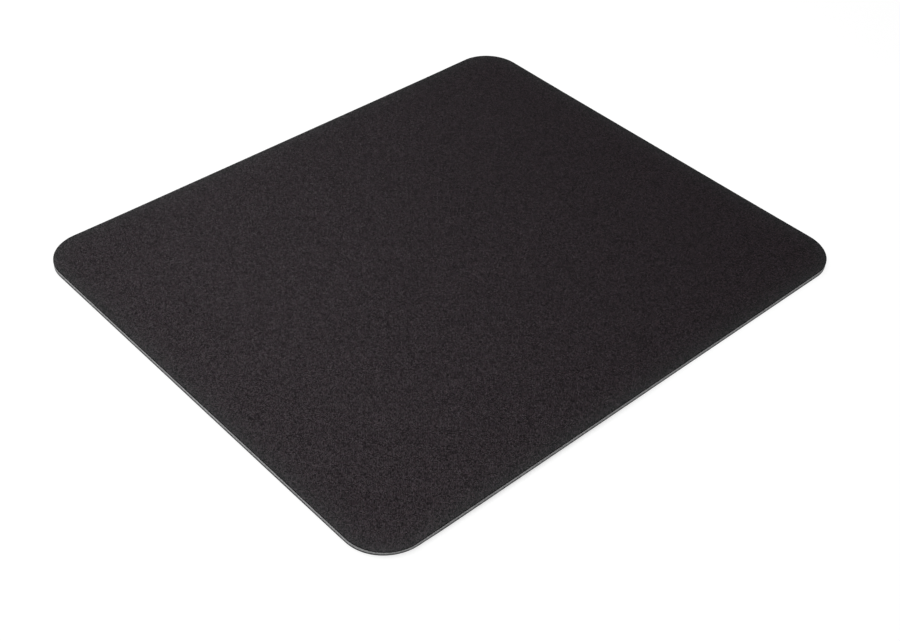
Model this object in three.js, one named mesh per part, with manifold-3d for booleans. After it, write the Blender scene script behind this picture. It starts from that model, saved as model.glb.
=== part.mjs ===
// A thin cloth mouse pad: knitted cloth over a sponge core over a rubber sheet with a wave tread.
// The plies are bonded into one flat sheet and cut to a rounded rectangle in one stroke.
// Millimetres, +Z up. The origin is the middle of the underside, and +X runs along the longer side.

import * as THREE from "three";
import loadManifold from "manifold-3d";

// Outline at the underside, where the cut is widest.
const padWidth = 240;
const padDepth = 200;
const cornerRadius = 16;

// Thickness of each ply, from the desk up.
const gripBaseThickness = 0.6;
const baseBondThickness = 0.05;
const spongeThickness = 1.0;
const clothBondThickness = 0.05;
const clothThickness = 0.3;

// The die leans the cut edge inwards, and it presses the cloth's rim down into a small roll.
const cutLeanDegrees = 1;
const clothRollRadius = 0.2;
const largestRollShareOfCloth = 0.8;

// Wave tread on the underside: grooves of a V section that run along X in even waves.
const groovePitch = 5;
const grooveWidth = 2;
const grooveDepth = 0.25;
const waveLength = 36;
const waveSwing = 5;
const grooveOvershoot = 1;

// Steps in which round stretches are drawn. The steps round a corner are an even number.
const cornerSteps = 12;
const rollSteps = 3;
const waveSteps = 6;

// Finishes: black knit, grey sponge, charcoal rubber and two dark adhesive films.
const clothFinish = { color: 0x2b282a, roughness: 0.9, metalness: 0 };
const clothBondFinish = { color: 0x2a2a2c, roughness: 0.5, metalness: 0 };
const spongeFinish = { color: 0x7d7d80, roughness: 0.95, metalness: 0 };
const baseBondFinish = { color: 0x3a3a3c, roughness: 0.6, metalness: 0 };
const gripBaseFinish = { color: 0x55565a, roughness: 0.75, metalness: 0 };

const wasm = await loadManifold();
wasm.setup();

// Heights are kept as 32-bit numbers, so that two plies that meet share exactly the same plane.
const stackOn = (height, thickness) => Math.fround(height + thickness);
const deskLevel = 0;
const gripBaseTop = stackOn(deskLevel, gripBaseThickness);
const baseBondTop = stackOn(gripBaseTop, baseBondThickness);
const spongeTop = stackOn(baseBondTop, spongeThickness);
const clothBondTop = stackOn(spongeTop, clothBondThickness);
const clothTop = stackOn(clothBondTop, clothThickness);

// How far the leaning cut stands in from the widest outline at a height above the desk.
function cutInset(height) {
  return height * Math.tan(THREE.MathUtils.degToRad(cutLeanDegrees));
}

// The rounded rectangle at an inset and a height, as points that run anticlockwise seen from above.
function outlineLoop(inset, height) {
  const centreX = padWidth / 2 - cornerRadius;
  const centreY = padDepth / 2 - cornerRadius;
  const radius = cornerRadius - inset;
  const quarterTurn = Math.PI / 2;
  const outline = new THREE.Path();
  outline.absarc(centreX, centreY, radius, 0, quarterTurn);
  outline.absarc(-centreX, centreY, radius, quarterTurn, 2 * quarterTurn);
  outline.absarc(-centreX, -centreY, radius, 2 * quarterTurn, 3 * quarterTurn);
  outline.absarc(centreX, -centreY, radius, 3 * quarterTurn, 4 * quarterTurn);
  const arcDivisions = cornerSteps / 2;
  return outline.getPoints(arcDivisions).map((point) => new THREE.Vector3(point.x, point.y, height));
}

// A closed solid through a row of matching convex loops. Each end is capped by a fan of triangles.
function loft(loops) {
  const loopSize = loops[0].length;
  const lastLoop = (loops.length - 1) * loopSize;
  const triangles = [];
  for (let start = 0; start < lastLoop; start += loopSize) {
    for (let corner = 0; corner < loopSize; corner++) {
      const here = start + corner;
      const next = start + ((corner + 1) % loopSize);
      triangles.push(here, next, next + loopSize);
      triangles.push(here, next + loopSize, here + loopSize);
    }
  }
  for (let corner = 1; corner < loopSize - 1; corner++) {
    triangles.push(0, corner + 1, corner);
    triangles.push(lastLoop, lastLoop + corner, lastLoop + corner + 1);
  }
  const geometry = new THREE.BufferGeometry().setFromPoints(loops.flat());
  geometry.setIndex(triangles);
  return geometry;
}

// A flat ply between two heights, whose edge is the leaning cut.
function plyGeometry(bottom, top) {
  return loft([outlineLoop(cutInset(bottom), bottom), outlineLoop(cutInset(top), top)]);
}

// The cloth's edge is cut straight at its foot, then rolls over into the flat working face.
function clothGeometry() {
  const roll = Math.min(clothRollRadius, clothThickness * largestRollShareOfCloth);
  const rollStart = clothTop - roll;
  const loops = [outlineLoop(cutInset(clothBondTop), clothBondTop)];
  for (let step = 0; step <= rollSteps; step++) {
    const turn = ((Math.PI / 2) * step) / rollSteps;
    const inset = cutInset(rollStart) + roll * (1 - Math.cos(turn));
    const height = step === rollSteps ? clothTop : rollStart + roll * Math.sin(turn);
    loops.push(outlineLoop(inset, height));
  }
  return loft(loops);
}

// The bar that one groove takes out of the underside: a ridge along a wave, point upwards.
function grooveBar(middleY) {
  const footHeight = deskLevel - grooveOvershoot;
  const ridgeHeight = deskLevel + grooveDepth;
  const footHalfWidth = (grooveWidth / 2) * ((ridgeHeight - footHeight) / grooveDepth);
  const stepLength = waveLength / waveSteps;
  const stepsToEdge = Math.ceil((padWidth / 2 + grooveOvershoot) / stepLength);
  const sections = [];
  for (let step = -stepsToEdge; step <= stepsToEdge; step++) {
    const x = step * stepLength;
    const y = middleY + (waveSwing / 2) * (1 - Math.cos((2 * Math.PI * step) / waveSteps));
    sections.push([
      new THREE.Vector3(x, y - footHalfWidth, footHeight),
      new THREE.Vector3(x, y + footHalfWidth, footHeight),
      new THREE.Vector3(x, y, ridgeHeight),
    ]);
  }
  return loft(sections);
}

function toSolid(geometry) {
  const vertProperties = geometry.attributes.position.array;
  const triVerts = new Uint32Array(geometry.index.array);
  return new wasm.Manifold(new wasm.Mesh({ numProp: 3, vertProperties, triVerts }));
}

function toGeometry(solid) {
  const mesh = solid.getMesh();
  const geometry = new THREE.BufferGeometry();
  geometry.setAttribute("position", new THREE.BufferAttribute(mesh.vertProperties, 3));
  geometry.setIndex(new THREE.BufferAttribute(mesh.triVerts, 1));
  return geometry;
}

// The rubber sheet, with a land of the tread under the middle of the pad and a groove on each side.
function gripBaseGeometry() {
  let solid = toSolid(plyGeometry(deskLevel, gripBaseTop));
  const groovesEachSide = Math.ceil((padDepth / 2 + waveSwing) / groovePitch) + 1;
  for (let groove = -groovesEachSide; groove < groovesEachSide; groove++) {
    const middleY = groovePitch / 2 + groove * groovePitch;
    solid = solid.subtract(toSolid(grooveBar(middleY)));
  }
  return toGeometry(solid);
}

function namedPly(name, geometry, finish) {
  geometry.computeVertexNormals();
  const ply = new THREE.Mesh(geometry, new THREE.MeshStandardMaterial(finish));
  ply.name = name;
  return ply;
}

const mousePad = new THREE.Group();
mousePad.name = "mouse_pad";
mousePad.add(
  namedPly("grip_base", gripBaseGeometry(), gripBaseFinish),
  namedPly("base_bond_film", plyGeometry(gripBaseTop, baseBondTop), baseBondFinish),
  namedPly("sponge_core", plyGeometry(baseBondTop, spongeTop), spongeFinish),
  namedPly("cloth_bond_film", plyGeometry(spongeTop, clothBondTop), clothBondFinish),
  namedPly("top_cloth", clothGeometry(), clothFinish),
);

export default mousePad;
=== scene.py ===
# %% [markdown]
# A cloth mouse pad, ply by ply
# The object is a thin black mouse pad that lies on a white table. It is a sandwich: knitted cloth on
# top, a sheet of grey sponge, and a sheet of dark rubber with a wave tread underneath. The plain
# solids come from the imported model, which sets every size and place. This lesson dresses them: each
# ply becomes a detailed mesh in the same place, with a finish built from shader nodes.

# %% Load the frame
import math

import bpy
import numpy as np
from mathutils import Matrix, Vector
from mathutils.geometry import delaunay_2d_cdt


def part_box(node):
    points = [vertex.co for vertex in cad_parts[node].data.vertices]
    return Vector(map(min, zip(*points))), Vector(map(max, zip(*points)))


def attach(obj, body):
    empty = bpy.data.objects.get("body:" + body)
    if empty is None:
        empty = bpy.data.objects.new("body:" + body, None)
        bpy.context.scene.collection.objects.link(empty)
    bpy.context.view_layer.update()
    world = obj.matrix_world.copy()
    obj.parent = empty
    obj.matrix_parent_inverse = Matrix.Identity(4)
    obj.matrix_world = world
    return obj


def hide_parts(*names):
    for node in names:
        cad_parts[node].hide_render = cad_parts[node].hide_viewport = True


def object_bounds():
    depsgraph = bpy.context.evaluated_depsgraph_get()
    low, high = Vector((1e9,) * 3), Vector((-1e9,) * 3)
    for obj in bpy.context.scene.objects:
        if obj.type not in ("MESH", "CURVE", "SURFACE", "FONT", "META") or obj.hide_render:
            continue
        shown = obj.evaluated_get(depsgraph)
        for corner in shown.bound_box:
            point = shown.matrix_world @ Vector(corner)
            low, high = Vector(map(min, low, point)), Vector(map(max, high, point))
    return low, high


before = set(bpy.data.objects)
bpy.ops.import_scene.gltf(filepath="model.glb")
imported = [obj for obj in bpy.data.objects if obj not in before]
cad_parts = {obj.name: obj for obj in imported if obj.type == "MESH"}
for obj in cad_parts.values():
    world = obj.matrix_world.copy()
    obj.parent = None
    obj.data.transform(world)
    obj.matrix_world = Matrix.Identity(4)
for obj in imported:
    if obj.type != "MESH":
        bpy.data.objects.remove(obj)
cad_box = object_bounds()
MM = 0.001
quarter_turn = math.pi / 2
corner_radius = 16 * MM
_, base_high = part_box("grip_base")
pad_half_width = base_high.x
pad_half_depth = base_high.y
corner_x = pad_half_width - corner_radius
corner_y = pad_half_depth - corner_radius
print("CAD box, mm:", [[round(value / MM, 3) for value in corner] for corner in cad_box])

# %% [markdown]
# The camera
# The photographer stood over the corner nearest to us and looked down across the pad. The lens, the
# place and the tilt were found by matching the pad's four straight edges. The picture was cropped a
# little to one side, so the lens is shifted by a few hundredths of the frame, as a view camera is.

# %% Place the camera
camera_place = (-0.3034, -0.3059, 0.3468)
camera_heading = math.radians(43.785)
camera_look_down = math.radians(41.384)
camera_roll = math.radians(2.79)
camera_lens_mm = 56.98
camera_shift_x = 0.0292

camera_data = bpy.data.cameras.new("camera")
camera_data.lens = camera_lens_mm
camera_data.shift_x = camera_shift_x
camera = bpy.data.objects.new("camera", camera_data)
bpy.context.scene.collection.objects.link(camera)
camera.matrix_world = (
    Matrix.Translation(camera_place)
    @ Matrix.Rotation(-camera_heading, 4, "Z")
    @ Matrix.Rotation(quarter_turn - camera_look_down, 4, "X")
    @ Matrix.Rotation(camera_roll, 4, "Z")
)
bpy.context.scene.camera = camera
bpy.context.scene.view_settings.view_transform = "Standard"
print("camera lens, mm:", camera_data.lens, "place:", [round(value, 3) for value in camera.location])

# %% [markdown]
# Building finishes from nodes
# A finish is a small graph of shader nodes. Writing one by hand takes many lines, so a few helpers do
# the repeated work: one feeds a socket with either a link or a plain number, one adds a node, and
# others add a sum, a blend or a noise, or start a finish. The last one measures how far a place lies
# outside the rectangle through the four corner centres, which tells the pad's rim from its middle.
# All patterns read the object's own coordinates in millimetres, so a stitch is written with its real
# size and needs no unwrapping.

# %% Helpers for nodes
def feed(tree, socket, value):
    if isinstance(value, bpy.types.NodeSocket):
        tree.links.new(value, socket)
    else:
        socket.default_value = value


def add_node(tree, kind, settings=None, **inputs):
    node = tree.nodes.new(kind)
    for key, value in (settings or {}).items():
        setattr(node, key, value)
    for key, value in inputs.items():
        feed(tree, node.inputs[key.replace("_", " ")], value)
    return node


def calculate(tree, operation, *values):
    node = add_node(tree, "ShaderNodeMath", {"operation": operation})
    for socket, value in zip(node.inputs, values):
        feed(tree, socket, value)
    return node.outputs["Value"]


def combine(tree, operation, *vectors):
    node = add_node(tree, "ShaderNodeVectorMath", {"operation": operation})
    for socket, vector in zip(node.inputs, vectors):
        feed(tree, socket, vector)
    return node.outputs["Value" if operation in ("DISTANCE", "LENGTH") else "Vector"]


print("node helpers ready")

# %% Helpers for blends
def rest_of(tree, share):
    return calculate(tree, "SUBTRACT", 1.0, share)


def between(tree, share, low, high):
    return calculate(tree, "MULTIPLY_ADD", share, high - low, low)


def ease(tree, value, span, ends):
    eased = add_node(
        tree,
        "ShaderNodeMapRange",
        {"interpolation_type": "SMOOTHSTEP"},
        Value=value,
        From_Min=span[0],
        From_Max=span[1],
        To_Min=ends[0],
        To_Max=ends[1],
    )
    return eased.outputs["Result"]


# A mix node has sockets for numbers, vectors and colours. The colours are numbers 6 and 7.
def mix_colours(tree, share, first, second, blend="MIX"):
    node = add_node(tree, "ShaderNodeMix", {"data_type": "RGBA", "blend_type": blend})
    feed(tree, node.inputs[0], share)
    feed(tree, node.inputs[6], first)
    feed(tree, node.inputs[7], second)
    return node.outputs[2]


print("blend helpers ready")

# %% Helpers for finishes
def start_finish(name):
    finish = bpy.data.materials.new(name)
    finish.use_nodes = True
    tree = finish.node_tree
    tree.nodes.clear()
    shader = add_node(tree, "ShaderNodeBsdfPrincipled")
    add_node(tree, "ShaderNodeOutputMaterial", Surface=shader.outputs["BSDF"])
    metres = add_node(tree, "ShaderNodeTexCoord").outputs["Object"]
    in_mm = add_node(tree, "ShaderNodeVectorMath", {"operation": "SCALE"}, Vector=metres, Scale=1 / MM)
    return finish, tree, shader, in_mm.outputs["Vector"]


def add_noise(tree, place, scale, detail):
    noise = add_node(tree, "ShaderNodeTexNoise", Vector=place, Scale=scale, Detail=detail)
    return noise.outputs["Fac"]


def add_bump(tree, height, depth, strength):
    bump = add_node(tree, "ShaderNodeBump", Height=height, Distance=depth, Strength=strength)
    return bump.outputs["Normal"]


# The third value of the corner is far above any height, so that heights don't count.
def add_reach(tree, place, unit=1.0):
    corner_centre = (corner_x / unit, corner_y / unit, pad_half_width / unit)
    past_centre = combine(tree, "SUBTRACT", combine(tree, "ABSOLUTE", place), corner_centre)
    return combine(tree, "LENGTH", combine(tree, "MAXIMUM", past_centre, (0, 0, 0)))


print("finish helpers ready")

# %% [markdown]
# The white table
# The pad lies on a wide white table. One flat face is enough for it, because nothing of the table
# shows but its whiteness and the pad's shadow. The face reaches far past the picture, so that it has
# no edge in other views either. It is not part of the pad.

# %% Lay the table
table_half = 12.0

table_mesh = bpy.data.meshes.new("white_table")
table_corners = [(-table_half, -table_half, 0), (table_half, -table_half, 0)]
table_corners += [(table_half, table_half, 0), (-table_half, table_half, 0)]
table_mesh.from_pydata(table_corners, [], [(0, 1, 2, 3)])
table = bpy.data.objects.new("white_table", table_mesh)
bpy.context.scene.collection.objects.link(table)
print("table spans, m:", 2 * table_half)

# %% [markdown]
# The white table: its light
# A white surface that is only lit turns grey away from the lamp, and its shadows come out too deep.
# So where the camera or a reflection meets the table, a glow takes over part of the lamp light: the
# two add up to white, and the light that the pad blocks still leaves a soft shadow. Along the front
# edge, where the shadow is deepest, the lamp does the most. Nothing glows under the pad, or light
# would leak out below a lifted edge. At the nearest corner the foot of the pad is tucked in by half
# a millimetre, and the glow follows it there.

# %% Share the light
shadow_place = (-50 * MM, -pad_half_depth - 15 * MM, 0)
lamp_share = (0.85, 0.29)
lamp_share_falls = (0.02, 0.09)
tuck_place = (9 * MM - pad_half_width, 2 * MM - pad_half_depth, 0)
tuck_reach = 11 * MM
tuck_depth = 0.48 * MM

table_finish = bpy.data.materials.new("white_table")
table_finish.use_nodes = True
tree = table_finish.node_tree
tree.nodes.clear()
rays = add_node(tree, "ShaderNodeLightPath").outputs
seen = calculate(tree, "MAXIMUM", rays["Is Camera Ray"], rays["Is Glossy Ray"])
seen = calculate(tree, "MAXIMUM", seen, rays["Is Transmission Ray"])
table_point = add_node(tree, "ShaderNodeTexCoord").outputs["Object"]
from_shadow = combine(tree, "DISTANCE", table_point, shadow_place)
share = ease(tree, from_shadow, lamp_share_falls, lamp_share)
tuck_fall = calculate(tree, "DIVIDE", combine(tree, "DISTANCE", table_point, tuck_place), tuck_reach)
tuck_fall = calculate(tree, "MULTIPLY", tuck_fall, tuck_fall)
tuck_share = calculate(tree, "EXPONENT", calculate(tree, "MULTIPLY", tuck_fall, -1.0))
foot_radius = calculate(tree, "MULTIPLY_ADD", tuck_share, -tuck_depth, corner_radius)
under_pad = calculate(tree, "LESS_THAN", add_reach(tree, table_point), foot_radius)
print("light sharing nodes:", len(tree.nodes))

# %% Paint the table
table_whiteness = 0.8
white_level = 1.03
lamp_level = 0.9

hidden_lamp = calculate(tree, "MULTIPLY", seen, rest_of(tree, share))
paint = calculate(tree, "MULTIPLY", rest_of(tree, hidden_lamp), table_whiteness)
paint_colour = add_node(tree, "ShaderNodeCombineColor", Red=paint, Green=paint, Blue=paint)
table_paint = add_node(tree, "ShaderNodeBsdfDiffuse", Color=paint_colour.outputs["Color"])
glow = calculate(tree, "MULTIPLY_ADD", share, -lamp_level * table_whiteness, white_level)
glow = calculate(tree, "MULTIPLY", glow, rest_of(tree, under_pad))
table_glow = add_node(tree, "ShaderNodeEmission", Strength=calculate(tree, "MULTIPLY", seen, glow))
table_sum = add_node(tree, "ShaderNodeAddShader")
tree.links.new(table_paint.outputs["BSDF"], table_sum.inputs[0])
tree.links.new(table_glow.outputs["Emission"], table_sum.inputs[1])
add_node(tree, "ShaderNodeOutputMaterial", Surface=table_sum.outputs["Shader"])
table_mesh.materials.append(table_finish)
print("table finish nodes:", len(tree.nodes))

# %% [markdown]
# The light
# One large soft panel hangs over the pad in a dim room. The cloth's slight gloss mirrors the panel on
# the left half of the pad, and past the panel's edge on the right half, so the black falls off from
# left to right. A smaller or lower lamp would give a spot instead of that even fall.

# %% Light the room
room_brightness = 0.15
room_colour = (1, 1, 1, 1)
panel_place = (-0.19, 0.168, 0.549)
panel_tilt = math.radians(-9.5)
panel_spin = math.radians(-4)
panel_size = (1.11, 1.23)
panel_watts = 6.8

world = bpy.data.worlds.new("dim_room")
world.use_nodes = True
room = world.node_tree.nodes["Background"]
room.inputs["Color"].default_value = room_colour
room.inputs["Strength"].default_value = room_brightness
bpy.context.scene.world = world

panel_light = bpy.data.lights.new("soft_panel", "AREA")
panel_light.shape = "RECTANGLE"
panel_light.size, panel_light.size_y = panel_size
panel_light.energy = panel_watts
panel = bpy.data.objects.new("soft_panel", panel_light)
panel.location = panel_place
panel.rotation_euler = (panel_tilt, 0, panel_spin)
panel.visible_camera = False
bpy.context.scene.collection.objects.link(panel)

# %% [markdown]
# Walking round the cut edge
# All plies share one cut: a rounded rectangle. Each point of it is a place on a smaller rectangle,
# the one through the four corner centres, pushed outwards by the corner radius. Keeping the place
# and the direction apart makes every inset line easy: push a little less far. The straight runs are
# divided as finely as the corners, because the raw edge is to show cut stitches and sponge pores.

# %% Find the stations of the edge
cut_lean = math.radians(1)
edge_step = 0.3 * MM


def edge_stations(step):
    corners = [(corner_x, -corner_y), (corner_x, corner_y)]
    corners += [(-corner_x, corner_y), (-corner_x, -corner_y)]
    anchors = []
    outwards = []
    for turn, here in enumerate(corners):
        following = corners[(turn + 1) % len(corners)]
        arc_steps = round(corner_radius * quarter_turn / step)
        run_steps = round(math.dist(here, following) / step)
        arc = (turn - 1 + np.arange(arc_steps) / arc_steps) * quarter_turn
        run = np.arange(run_steps)[:, None] / run_steps
        facing = (math.cos(turn * quarter_turn), math.sin(turn * quarter_turn))
        anchors += [np.tile(here, (arc_steps, 1)), here + run * np.subtract(following, here)]
        outwards += [np.c_[np.cos(arc), np.sin(arc)], np.tile(facing, (run_steps, 1))]
    return np.concatenate(anchors), np.concatenate(outwards)


def ring(inset, height):
    flat = anchors + outwards * (corner_radius - np.broadcast_to(inset, station_count))[:, None]
    return np.c_[flat, np.broadcast_to(height, station_count)]


def lean_inset(height):
    return height * math.tan(cut_lean)


anchors, outwards = edge_stations(edge_step)
station_count = len(anchors)
print("stations round the edge:", station_count)

# %% [markdown]
# A pad that is not quite flat
# Such a pad comes rolled up in its packet and keeps a trace of the roll: its corners and its left edge
# stand a fifth of a millimetre off the table, which shows as a darker line of shadow below them. At
# the nearest corner the die leaned the other way, so the foot of the cut is tucked in a little. That
# corner also lies flat: its negative lift takes back the lift of the left edge. The solids are flat
# and straight. One function moves every ply alike, so the plies stay together.

# %% Settle the pad
curl_reach = 30 * MM
# For each corner: its side along X, its side along Y and its lift.
corner_lifts = [(1, -1, 0.2 * MM), (1, 1, 0.25 * MM), (-1, 1, 0.13 * MM), (-1, -1, -0.1 * MM)]
left_edge_lift = 0.17 * MM
left_edge_reach = 20 * MM
pad_thickness = cad_box[1][2]
diagonal = math.sqrt(0.5)


def settled(points):
    points = np.array(points, float)
    from_left = points[:, 0] + pad_half_width
    rise = left_edge_lift * np.exp(-((from_left / left_edge_reach) ** 2))
    for side_x, side_y, lift in corner_lifts:
        corner = (side_x * pad_half_width, side_y * pad_half_depth)
        away = np.linalg.norm(points[:, :2] - corner, axis=1)
        rise += lift * np.exp(-((away / curl_reach) ** 2))
    from_tuck = np.linalg.norm(points[:, :2] - tuck_place[:2], axis=1)
    tuck = tuck_depth * np.exp(-((from_tuck / tuck_reach) ** 2))
    tuck = tuck * (1 - points[:, 2] / pad_thickness)
    points[:, :2] += tuck[:, None] * diagonal
    points[:, 2] += np.maximum(rise, 0)
    return points


far_corner_rise = settled([(pad_half_width, pad_half_depth, 0)])[0, 2]
print("rise of the far corner, mm:", round(far_corner_rise / MM, 3))

# %% [markdown]
# From rings to meshes
# A ply is a stack of rings round the edge, sewn together with four-sided faces and closed below and
# above. A single large face could close it, but that face couldn't bend with the corners. So a net of
# triangles does: a constrained Delaunay net joins a regular grid to the closely spaced edge. The last
# helper makes the object, smooths its shading and keeps sharp edges sharp, so that light breaks at
# the cut but flows over the rolled cloth. It also hides the solid that the piece stands for.

# %% Sew and close rings
merge_distance = 1e-9
keep_inside = 1


def sew(ring_count, ring_size):
    faces = []
    for lower in range(0, (ring_count - 1) * ring_size, ring_size):
        upper = lower + ring_size
        for here in range(ring_size):
            following = (here + 1) % ring_size
            faces.append((lower + here, lower + following, upper + following, upper + here))
    return faces


def net_inside(loop, inset, spacing):
    across = np.arange(-pad_half_width, pad_half_width, spacing)
    along = np.arange(-pad_half_depth, pad_half_depth, spacing)
    net = np.stack(np.meshgrid(across, along), axis=-1).reshape(-1, 2)
    beyond = np.linalg.norm(np.maximum(np.abs(net) - (corner_x, corner_y), 0), axis=1)
    net = net[beyond < corner_radius - inset - spacing / 2]
    loop_edges = [(here, (here + 1) % len(loop)) for here in range(len(loop))]
    flat = [tuple(point) for point in np.concatenate([loop, net])]
    _, _, triangles, origins, _, _ = delaunay_2d_cdt(flat, loop_edges, [], keep_inside, merge_distance)
    return net, [tuple(origins[corner][0] for corner in triangle) for triangle in triangles]


def close_loop(points, faces, loop, inset, spacing, facing_up):
    height = points[loop[0]][2]
    net, triangles = net_inside(np.array([points[number][:2] for number in loop]), inset, spacing)
    numbers = list(loop) + list(range(len(points), len(points) + len(net)))
    points += [(x, y, height) for x, y in net]
    for triangle in triangles:
        corners = [numbers[corner] for corner in triangle]
        faces.append(tuple(corners if facing_up else reversed(corners)))


print("helpers for rings ready")

# %% Make a piece
sharp_angle = math.radians(40)


def make_piece(name, points, faces, finish, node):
    mesh = bpy.data.meshes.new(name)
    mesh.from_pydata([tuple(point) for point in settled(points)], [], faces)
    mesh.validate()
    mesh.shade_smooth()
    mesh.set_sharp_from_angle(angle=sharp_angle)
    mesh.materials.append(finish)
    piece = bpy.data.objects.new(name, mesh)
    bpy.context.scene.collection.objects.link(piece)
    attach(piece, "root")
    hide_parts(node)
    return piece


print("helper for pieces ready")

# %% [markdown]
# The knitted cloth: its stitches
# The face is a fine black polyester jersey. Its stitches are small lozenges, 0.8 mm apart in a row,
# with each row set off by half a stitch from the last, and the whole grid leans a little because the
# cloth was stretched when it was glued. They are far too fine to model one by one, so the finish works
# them out: two slanting counts number the lozenges, and a dice throw for each number gives a stitch
# its own shade, tint and height.

# %% Count the stitches
stitch_pitch = 0.775
row_pitch = 0.365
column_drift = 0.155
legs_per_stitch = 2

cloth_finish, tree, shader, place = start_finish("black_knit")
axes = add_node(tree, "ShaderNodeSeparateXYZ", Vector=place)
drifted = calculate(tree, "MULTIPLY_ADD", axes.outputs["Y"], column_drift, axes.outputs["X"])
columns_in = calculate(tree, "DIVIDE", drifted, stitch_pitch)
half_rows_in = calculate(tree, "DIVIDE", axes.outputs["Y"], 2 * row_pitch)
rising = calculate(tree, "SUBTRACT", columns_in, half_rows_in)
falling = calculate(tree, "ADD", columns_in, half_rows_in)
rising_share = calculate(tree, "FRACT", rising)
falling_share = calculate(tree, "FRACT", falling)
rising_count = calculate(tree, "FLOOR", rising)
falling_count = calculate(tree, "FLOOR", falling)


def throw_dice(tree, first, second):
    cell = add_node(tree, "ShaderNodeCombineXYZ", X=first, Y=second)
    dice = add_node(
        tree, "ShaderNodeTexWhiteNoise", {"noise_dimensions": "2D"}, Vector=cell.outputs[0]
    )
    return add_node(tree, "ShaderNodeSeparateColor", Color=dice.outputs["Color"]).outputs


leg_count = calculate(tree, "FLOOR", calculate(tree, "MULTIPLY", rising, legs_per_stitch))
stitch_dice = throw_dice(tree, rising_count, falling_count)
leg_dice = throw_dice(tree, leg_count, falling_count)
print("stitches along a row:", round(2 * pad_half_width / MM / stitch_pitch))

# %% Shade the stitches
dark_yarn = (0.0015, 0.001, 0.0012, 1)
warm_yarn = (0.0546, 0.0349, 0.0395, 1)
cool_yarn = (0.0462, 0.033, 0.0462, 1)
stitch_contrast = 1.4
fibre_scale = 7.0
fibre_detail = 3.0
patch_scale = 0.03
patch_detail = 2.0
shade_by_fibre = (0.1, 1.3)
# Painted light and shade: a stitch is painted lighter on its crown and darker in the gaps between
# stitches.
crown_and_gap_shade = (0.15, 1.05)
shade_by_patch = (0.85, 1.15)


def swell(tree, share):
    return calculate(tree, "SINE", calculate(tree, "MULTIPLY", share, math.pi))


fibres = add_noise(tree, place, fibre_scale, fibre_detail)
patches = add_noise(tree, place, patch_scale, patch_detail)
stitch_height = calculate(tree, "MULTIPLY", swell(tree, rising_share), swell(tree, falling_share))
shade = calculate(tree, "POWER", stitch_dice["Red"], stitch_contrast)
shade = calculate(tree, "MULTIPLY", shade, between(tree, fibres, *shade_by_fibre))
# Painted highlight on each stitch crown and painted shade in the gaps, set by the stitch height.
shade = calculate(tree, "MULTIPLY", shade, between(tree, stitch_height, *crown_and_gap_shade))
shade = calculate(tree, "MULTIPLY", shade, between(tree, patches, *shade_by_patch))
light_yarn = mix_colours(tree, stitch_dice["Green"], warm_yarn, cool_yarn)
yarn = mix_colours(tree, shade, dark_yarn, light_yarn)
print("knit nodes with the shades:", len(tree.nodes))

# %% [markdown]
# The knitted cloth: its sparkle
# A stitch has two legs of yarn, and light glances off each leg in its own way. One gloss for the whole
# face would look like plastic film, so a dice throw for each leg sets how dull it is and how it leans.
# Bright and dull legs side by side make the fine sparkle of the knit. A painted sheen lies on the last
# few millimetres before the rim, where the cut fibres stand up and catch the light: it turns the black
# to a cool grey there.

# %% Paint sheen on the rim and set the gloss
# The rim gets a painted sheen: a cool grey added to the yarn colour close to the rim.
rim_sheen_colour = (0.0061, 0.0111, 0.0094, 1)
rim_sheen_reach = 3.5
gloss_tint = (1.0, 0.86, 0.935, 1)
knit_gloss = 0.248
dull_and_glossy = (0.89, 0.185)
dull_to_glossy = (0.05, 0.95)

# Painted sheen: its share fades inwards from the rim over the sheen reach.
past_rim = calculate(tree, "SUBTRACT", add_reach(tree, place, MM), corner_radius / MM)
rim_sheen = calculate(tree, "EXPONENT", calculate(tree, "DIVIDE", past_rim, rim_sheen_reach))
sheened_yarn = mix_colours(tree, rim_sheen, yarn, rim_sheen_colour, "ADD")
tree.links.new(sheened_yarn, shader.inputs["Base Color"])
roughness = ease(tree, leg_dice["Red"], dull_to_glossy, dull_and_glossy)
tree.links.new(roughness, shader.inputs["Roughness"])
shader.inputs["Specular IOR Level"].default_value = knit_gloss
shader.inputs["Specular Tint"].default_value = gloss_tint
print("knit nodes with lint and gloss:", len(tree.nodes))

# %% Lean the legs
relief_by_stitch = (0.3, 1.7)
fibre_relief = 0.25
stitch_relief = 0.04 * MM
relief_strength = 0.6
largest_lean = 0.16

lean = add_node(
    tree,
    "ShaderNodeCombineXYZ",
    X=between(tree, leg_dice["Green"], -largest_lean, largest_lean),
    Y=between(tree, leg_dice["Blue"], -largest_lean, largest_lean),
)
stitch_swell = between(tree, stitch_dice["Blue"], *relief_by_stitch)
swollen = calculate(tree, "MULTIPLY", stitch_height, stitch_swell)
relief = calculate(tree, "MULTIPLY_ADD", fibres, fibre_relief, swollen)
bumped = add_bump(tree, relief, stitch_relief, relief_strength)
leaning = combine(tree, "NORMALIZE", combine(tree, "ADD", bumped, lean.outputs["Vector"]))
tree.links.new(leaning, shader.inputs["Normal"])
print("knit finish nodes:", len(tree.nodes))

# %% [markdown]
# The knitted cloth: its cut rim
# Where the die cut through the knit, the yarns show their ends. Cut ends have no gloss and swallow
# light, so a thin black line runs round the rim. It gets a finish of its own, blacker and duller than
# the face, broken by the stitches that the die cut at different places.

# %% Finish the cut rim
cut_end_dark = (0.001, 0.001, 0.001, 1)
cut_end_light = (0.02, 0.018, 0.019, 1)
cut_end_roughness = (0.85, 1.0)
cut_end_contrast = 1.4
cut_end_gloss = 0.04
cut_end_scale = 1.6
cut_end_detail = 2.0

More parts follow.
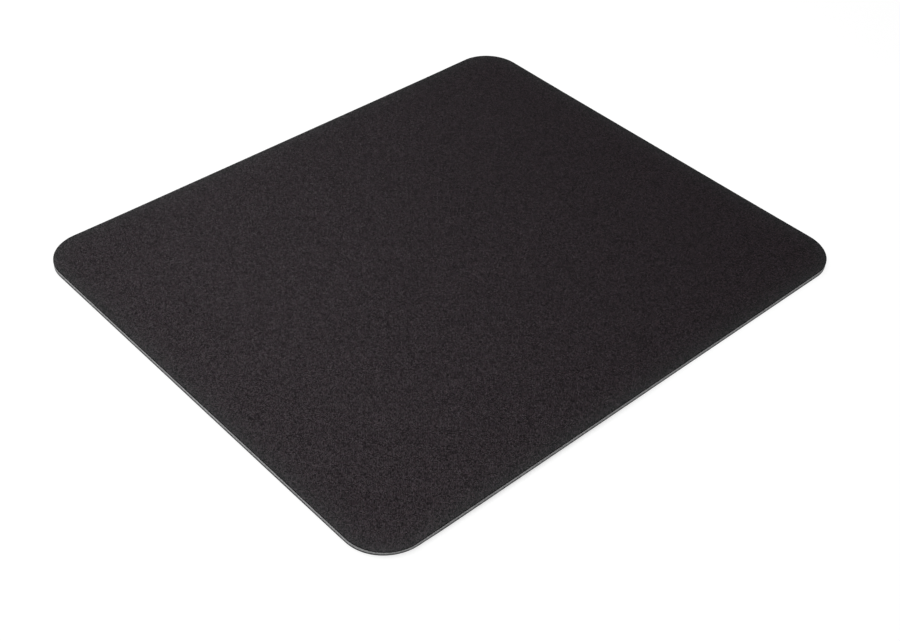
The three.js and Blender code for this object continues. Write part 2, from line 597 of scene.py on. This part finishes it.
rim_finish, tree, shader, place = start_finish("cut_yarn_ends")
yarn_ends = add_noise(tree, place, cut_end_scale, cut_end_detail)
rim_shade = calculate(tree, "POWER", yarn_ends, cut_end_contrast)
tree.links.new(mix_colours(tree, rim_shade, cut_end_dark, cut_end_light), shader.inputs["Base Color"])
tree.links.new(between(tree, yarn_ends, *cut_end_roughness), shader.inputs["Roughness"])
shader.inputs["Specular IOR Level"].default_value = cut_end_gloss
tree.links.new(add_bump(tree, yarn_ends, stitch_relief, relief_strength), shader.inputs["Normal"])
print("rim finish nodes:", len(tree.nodes))

# %% [markdown]
# The knitted cloth: its shape
# The die dragged the cloth as it cut, so the face is flat in the middle and rolls over at the rim.
# The rim itself is a row of cut stitches that spread a little past the sponge, so it is not quite
# straight. The rings follow that profile inwards.

# %% Shape the cloth
cloth_low, cloth_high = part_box("top_cloth")
cloth_foot = cloth_low.z
cloth_face = cloth_high.z
rim_spread = 0.05 * MM
cut_height = 0.1 * MM
roll_width = 0.16 * MM
roll_steps = 5
rim_width = 0.8 * MM
ragged_reach = 1 * MM
ragged_stitch = 0.05 * MM
ragged_fibre = 0.05 * MM
face_spacing = 2 * MM
hidden_spacing = 6 * MM
shape_seed = 7

shape_dice = np.random.default_rng(shape_seed)
edge_run = np.arange(station_count) * edge_step
ragged = ragged_stitch * np.abs(np.sin(math.pi * edge_run / (stitch_pitch * MM)))
ragged += ragged_fibre * shape_dice.random(station_count)
ragged -= ragged.mean()

cut_top = cloth_foot + cut_height
cut_inset = lean_inset(cut_top) - rim_spread
profile = [(cut_inset, cloth_foot), (cut_inset, cut_top)]
roll_rise = cloth_face - cut_top
for turn in np.linspace(0, quarter_turn, roll_steps + 1)[1:]:
    roll_inset = cut_inset + roll_width * (1 - math.cos(turn))
    profile.append((roll_inset, cut_top + roll_rise * math.sin(turn)))
profile.append((rim_width, cloth_face))

cloth_points = []
for inset, height in profile:
    fade = max(0.0, 1 - inset / ragged_reach)
    cloth_points += [tuple(point) for point in ring(inset + ragged * fade, height)]
print("rings from the cut to the flat face:", len(profile))

# %% Close the cloth
cloth_faces = sew(len(profile), station_count)
face_loop = range((len(profile) - 1) * station_count, len(profile) * station_count)
close_loop(cloth_points, cloth_faces, face_loop, rim_width, face_spacing, True)
close_loop(cloth_points, cloth_faces, range(station_count), cut_inset, hidden_spacing, False)
cloth = make_piece("knit_top", cloth_points, cloth_faces, cloth_finish, "top_cloth")

rim_slot = len(cloth.data.materials)
cloth.data.materials.append(rim_finish)
rim_steps = 1 + roll_steps
for polygon in cloth.data.polygons[: rim_steps * station_count]:
    polygon.material_index = rim_slot
print("cloth faces:", len(cloth.data.polygons))

# %% [markdown]
# The sponge core: its finish
# Under the cloth lies a sheet of grey sponge rubber. Only its cut edge shows, as the lighter line
# round the pad. Cut sponge is matt and full of small open cells, so the finish scatters pores over a
# mottled grey, each painted dark for the shade inside the open cell, and roughens it everywhere.

# %% Foam the sponge finish
sponge_dark = (0.14, 0.14, 0.143, 1)
sponge_light = (0.62, 0.62, 0.625, 1)
pore_edge = 2.2
pore_blend = 0.2
shade_by_mottle = (0.3, 1.2)
shade_by_grain = (0.75, 1.15)
sponge_roughness = (0.86, 0.98)
sponge_gloss = 0.2
cell_scale = 5.5
cell_relief = 0.08 * MM
cell_relief_strength = 0.8
sponge_mottle_scale = 0.9
sponge_mottle_detail = 3.0
grain_scale = 14.0
grain_detail = 2.0

sponge_finish, tree, shader, place = start_finish("grey_sponge")
cells = add_node(tree, "ShaderNodeTexVoronoi", Vector=place, Scale=cell_scale)
mottle = add_noise(tree, place, sponge_mottle_scale, sponge_mottle_detail)
grain = add_noise(tree, place, grain_scale, grain_detail)
from_pore = calculate(tree, "MULTIPLY", cells.outputs["Distance"], pore_edge)
# Painted shade: the open cells are painted dark, for the shade inside each pore. The same cells give
# the bump.
open_cells = calculate(tree, "SMOOTH_MIN", from_pore, 1.0, pore_blend)
sponge_shade = calculate(tree, "MULTIPLY", open_cells, between(tree, mottle, *shade_by_mottle))
sponge_shade = calculate(tree, "MULTIPLY", sponge_shade, between(tree, grain, *shade_by_grain))
sponge_colour = mix_colours(tree, sponge_shade, sponge_dark, sponge_light)
tree.links.new(sponge_colour, shader.inputs["Base Color"])
tree.links.new(between(tree, grain, *sponge_roughness), shader.inputs["Roughness"])
shader.inputs["Specular IOR Level"].default_value = sponge_gloss
tree.links.new(add_bump(tree, open_cells, cell_relief, cell_relief_strength), shader.inputs["Normal"])
print("sponge finish nodes:", len(tree.nodes))

# %% [markdown]
# The sponge core: its shape
# The die squeezes the sponge as it cuts, and the sponge springs back, so the edge is slightly hollow
# between the two sheets that hold it, and the cloth overhangs it. Rings at several heights carry that
# hollow, and small random pits break the surface where the blade opened a cell.

# %% Shape the sponge
sponge_low, sponge_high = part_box("sponge_core")
sponge_levels = 9
edge_hollow = 0.08 * MM
pit_depth = 0.09 * MM
pit_rarity = 4

sponge_points = []
for share in np.linspace(0, 1, sponge_levels):
    height = sponge_low.z + share * (sponge_high.z - sponge_low.z)
    hollow = edge_hollow * math.sin(math.pi * share)
    pits = pit_depth * shape_dice.random(station_count) ** pit_rarity
    sponge_points += [tuple(point) for point in ring(lean_inset(height) + hollow + pits, height)]
sponge_faces = sew(sponge_levels, station_count)
top_loop = range((sponge_levels - 1) * station_count, sponge_levels * station_count)
close_loop(sponge_points, sponge_faces, top_loop, pit_depth, hidden_spacing, True)
close_loop(sponge_points, sponge_faces, range(station_count), pit_depth, hidden_spacing, False)
sponge = make_piece(
    "sponge_sheet", sponge_points, sponge_faces, sponge_finish, "sponge_core"
)
print("sponge thickness, mm:", round((sponge_high.z - sponge_low.z) / MM, 3))

# %% [markdown]
# The two adhesive films
# Thin films of adhesive hold the plies together. They show only as hairlines in the cut edge, dark and
# a little glossy, slightly uneven as a film is that was melted between two rough sheets. They bend with
# the corners, so each is a thin sheet of its own between two rings.

# %% Melt the films
film_dark = (0.018, 0.018, 0.019, 1)
film_light = (0.05, 0.05, 0.052, 1)
film_roughness = (0.3, 0.6)
ripple_scale = 2.5
ripple_detail = 3.0
ripple_relief = 0.02 * MM
ripple_strength = 0.4

film_finish, tree, shader, place = start_finish("dark_adhesive")
ripple = add_noise(tree, place, ripple_scale, ripple_detail)
tree.links.new(mix_colours(tree, ripple, film_dark, film_light), shader.inputs["Base Color"])
tree.links.new(between(tree, ripple, *film_roughness), shader.inputs["Roughness"])
tree.links.new(add_bump(tree, ripple, ripple_relief, ripple_strength), shader.inputs["Normal"])


def make_film(name, node):
    low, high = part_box(node)
    points = []
    for height in (low.z, high.z):
        points += [tuple(point) for point in ring(lean_inset(height), height)]
    faces = sew(2, station_count)
    close_loop(points, faces, range(station_count, 2 * station_count), 0, hidden_spacing, True)
    close_loop(points, faces, range(station_count), 0, hidden_spacing, False)
    return make_piece(name, points, faces, film_finish, node)


films = [
    make_film("upper_glue_line", "cloth_bond_film"),
    make_film("lower_glue_line", "base_bond_film"),
]
print("films:", [film.name for film in films])

# %% [markdown]
# The rubber base: its finish
# The base is a thin sheet of dark grey rubber. Moulded rubber has a fine pebbled grain, a slight
# bloom that clouds it in patches, and lands that are rubbed smoother than the grooves between them.
# Height above the table tells the lands from the grooves.

# %% Mould the rubber finish
rubber_dark = (0.034, 0.034, 0.035, 1)
rubber_light = (0.09, 0.09, 0.093, 1)
bloom_colour = (0.15, 0.15, 0.152, 1)
bloom_contrast = 3.0
most_bloom = 0.8
land_height = 0.25
rubbed_roughness = (0.58, 0.78)
mottle_roughness = 0.12
rubber_gloss = 0.4
pebble_scale = 3.2
pebble_relief = 0.06 * MM
pebble_strength = 0.5
rubber_mottle_scale = 0.8
rubber_mottle_detail = 4.0
bloom_scale = 0.06
bloom_detail = 3.0

rubber_finish, tree, shader, place = start_finish("charcoal_rubber")
axes = add_node(tree, "ShaderNodeSeparateXYZ", Vector=place)
pebbles = add_node(
    tree, "ShaderNodeTexVoronoi", {"feature": "SMOOTH_F1"}, Vector=place, Scale=pebble_scale
)
mottle = add_noise(tree, place, rubber_mottle_scale, rubber_mottle_detail)
bloom = add_noise(tree, place, bloom_scale, bloom_detail)
rubber_colour = mix_colours(tree, mottle, rubber_dark, rubber_light)
bloom_share = calculate(tree, "MULTIPLY", calculate(tree, "POWER", bloom, bloom_contrast), most_bloom)
rubber_colour = mix_colours(tree, bloom_share, rubber_colour, bloom_colour)
tree.links.new(rubber_colour, shader.inputs["Base Color"])
in_groove = calculate(tree, "DIVIDE", axes.outputs["Z"], land_height)
in_groove = calculate(tree, "MINIMUM", in_groove, 1.0)
rubbed = between(tree, in_groove, *rubbed_roughness)
rubber_roughness = calculate(tree, "MULTIPLY_ADD", mottle, mottle_roughness, rubbed)
tree.links.new(rubber_roughness, shader.inputs["Roughness"])
shader.inputs["Specular IOR Level"].default_value = rubber_gloss
pebbled = add_bump(tree, pebbles.outputs["Distance"], pebble_relief, pebble_strength)
tree.links.new(pebbled, shader.inputs["Normal"])
print("rubber finish nodes:", len(tree.nodes))

# %% [markdown]
# The rubber base: its tread
# Rows of wavy grooves cover the underside and keep the pad from sliding. They could be cut with
# booleans, but a net that follows the waves is cleaner: each row of the net is one wave, set across
# the groove's rounded section, and each column stops where it meets the cut edge.

# %% Lay out the tread
groove_pitch = 5 * MM
groove_width = 2 * MM
groove_depth = 0.25 * MM
groove_roundness = 1.5
wave_length = 36 * MM
wave_swing = 5 * MM
column_step = 2 * MM
corner_columns = 14
section_shares = (-1.0, -0.8, -0.5, -0.2, 0.2, 0.5, 0.8, 1.0)


def wave_offset(x):
    return wave_swing / 2 * (1 - np.cos(2 * math.pi * x / wave_length))


def tread_height(x, y):
    from_groove = np.mod(y - wave_offset(x), groove_pitch) - groove_pitch / 2
    share = np.clip(np.abs(from_groove) / (groove_width / 2), 0, 1)
    return groove_depth * np.cos(share * quarter_turn) ** groove_roundness


middle_columns = np.linspace(-corner_x, corner_x, round(2 * corner_x / column_step) + 1)
corner_turns = np.linspace(0, quarter_turn, corner_columns + 1)[1:]
corner_offsets = corner_radius * np.sin(corner_turns)
columns = np.concatenate([-corner_x - corner_offsets[::-1], middle_columns, corner_x + corner_offsets])
past_corner = np.clip(np.abs(columns) - corner_x, 0, corner_radius)
column_reach = corner_y + np.sqrt(corner_radius**2 - past_corner**2)
groove_count = math.ceil((pad_half_depth + wave_swing) / groove_pitch) + 1
groove_middles = groove_pitch / 2 + groove_pitch * np.arange(-groove_count, groove_count)
rows = (groove_middles[:, None] + np.array(section_shares) * groove_width / 2).ravel()
print("tread columns and rows:", len(columns), len(rows))

# %% Build the tread net
base_points = []
net_index = np.zeros((len(columns), len(rows)), int)
for i, x in enumerate(columns):
    line = np.clip(rows + wave_offset(x), -column_reach[i], column_reach[i])
    for j, y in enumerate(line):
        if j == 0 or y > line[j - 1]:
            base_points.append((x, y, float(tread_height(x, y))))
        net_index[i, j] = len(base_points) - 1

base_faces = []
for i in range(len(columns) - 1):
    for j in range(len(rows) - 1):
        around = (net_index[i, j], net_index[i, j + 1], net_index[i + 1, j + 1], net_index[i + 1, j])
        corners = list(dict.fromkeys(int(corner) for corner in around))
        if len(corners) > 2:
            base_faces.append(tuple(corners))
print("tread faces:", len(base_faces))

# %% Close the base
left_side = list(dict.fromkeys(net_index[0].tolist()))
right_side = list(dict.fromkeys(net_index[-1].tolist()))
front_side = net_index[:, 0].tolist()
back_side = net_index[:, -1].tolist()
rim = front_side[:-1] + right_side[:-1] + back_side[:0:-1] + left_side[:0:-1]
rim_flat = np.array([base_points[number][:2] for number in rim])
anchor = np.clip(rim_flat, (-corner_x, -corner_y), (corner_x, corner_y))
outward = (rim_flat - anchor) / np.linalg.norm(rim_flat - anchor, axis=1)[:, None]
above_grooves = 0.05 * MM
wall_loops = [rim]
for height in (groove_depth + above_grooves, base_high.z):
    first = len(base_points)
    base_points += [(x, y, height) for x, y in rim_flat - outward * lean_inset(height)]
    wall_loops.append(list(range(first, first + len(rim))))
for lower, upper in zip(wall_loops, wall_loops[1:]):
    for here in range(len(rim)):
        following = (here + 1) % len(rim)
        base_faces.append((lower[here], lower[following], upper[following], upper[here]))
close_loop(base_points, base_faces, wall_loops[-1], 0, hidden_spacing, True)
base = make_piece("tread_base", base_points, base_faces, rubber_finish, "grip_base")
print("base faces:", len(base.data.polygons))
